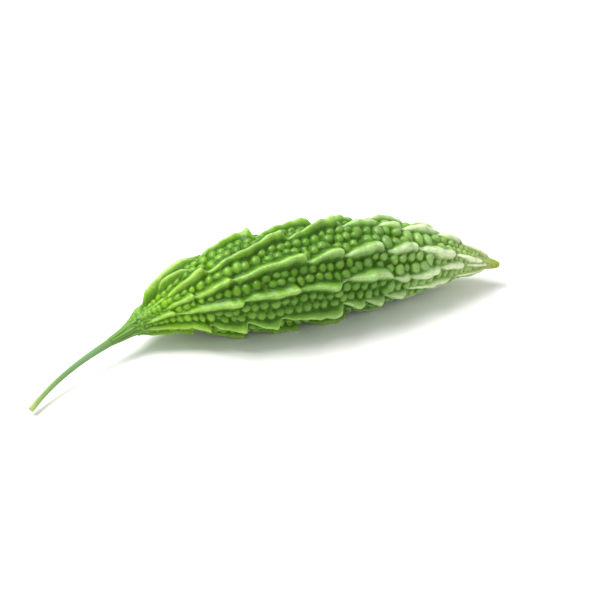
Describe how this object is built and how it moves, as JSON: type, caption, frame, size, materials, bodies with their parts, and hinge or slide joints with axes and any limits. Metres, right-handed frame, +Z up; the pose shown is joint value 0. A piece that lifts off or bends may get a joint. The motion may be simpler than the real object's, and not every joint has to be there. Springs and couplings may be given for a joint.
{
  "type": "bitter gourd",
  "caption": "Whole bitter gourd lying on its side: a ridged, warty spindle-shaped green fruit with a curved cut stalk.",
  "frame": {"origin": "centre of the whole part's box, on the table the fruit lies on", "axes": "+X along the fruit from its stalk end to its blossom end, +Y away from the side that the picture shows, +Z up"},
  "size_m": [0.2506, 0.0703, 0.0536],
  "materials": {
    "gourd_skin": "waxy green fruit skin, paler on the ridges and at the blossom end",
    "gourd_stalk": "dull blue-green fresh stalk, yellower at the cut end"
  },
  "bodies": {
    "root": {"fruit": "gourd_skin", "stalk": "gourd_stalk"}
  },
  "joints": []
}
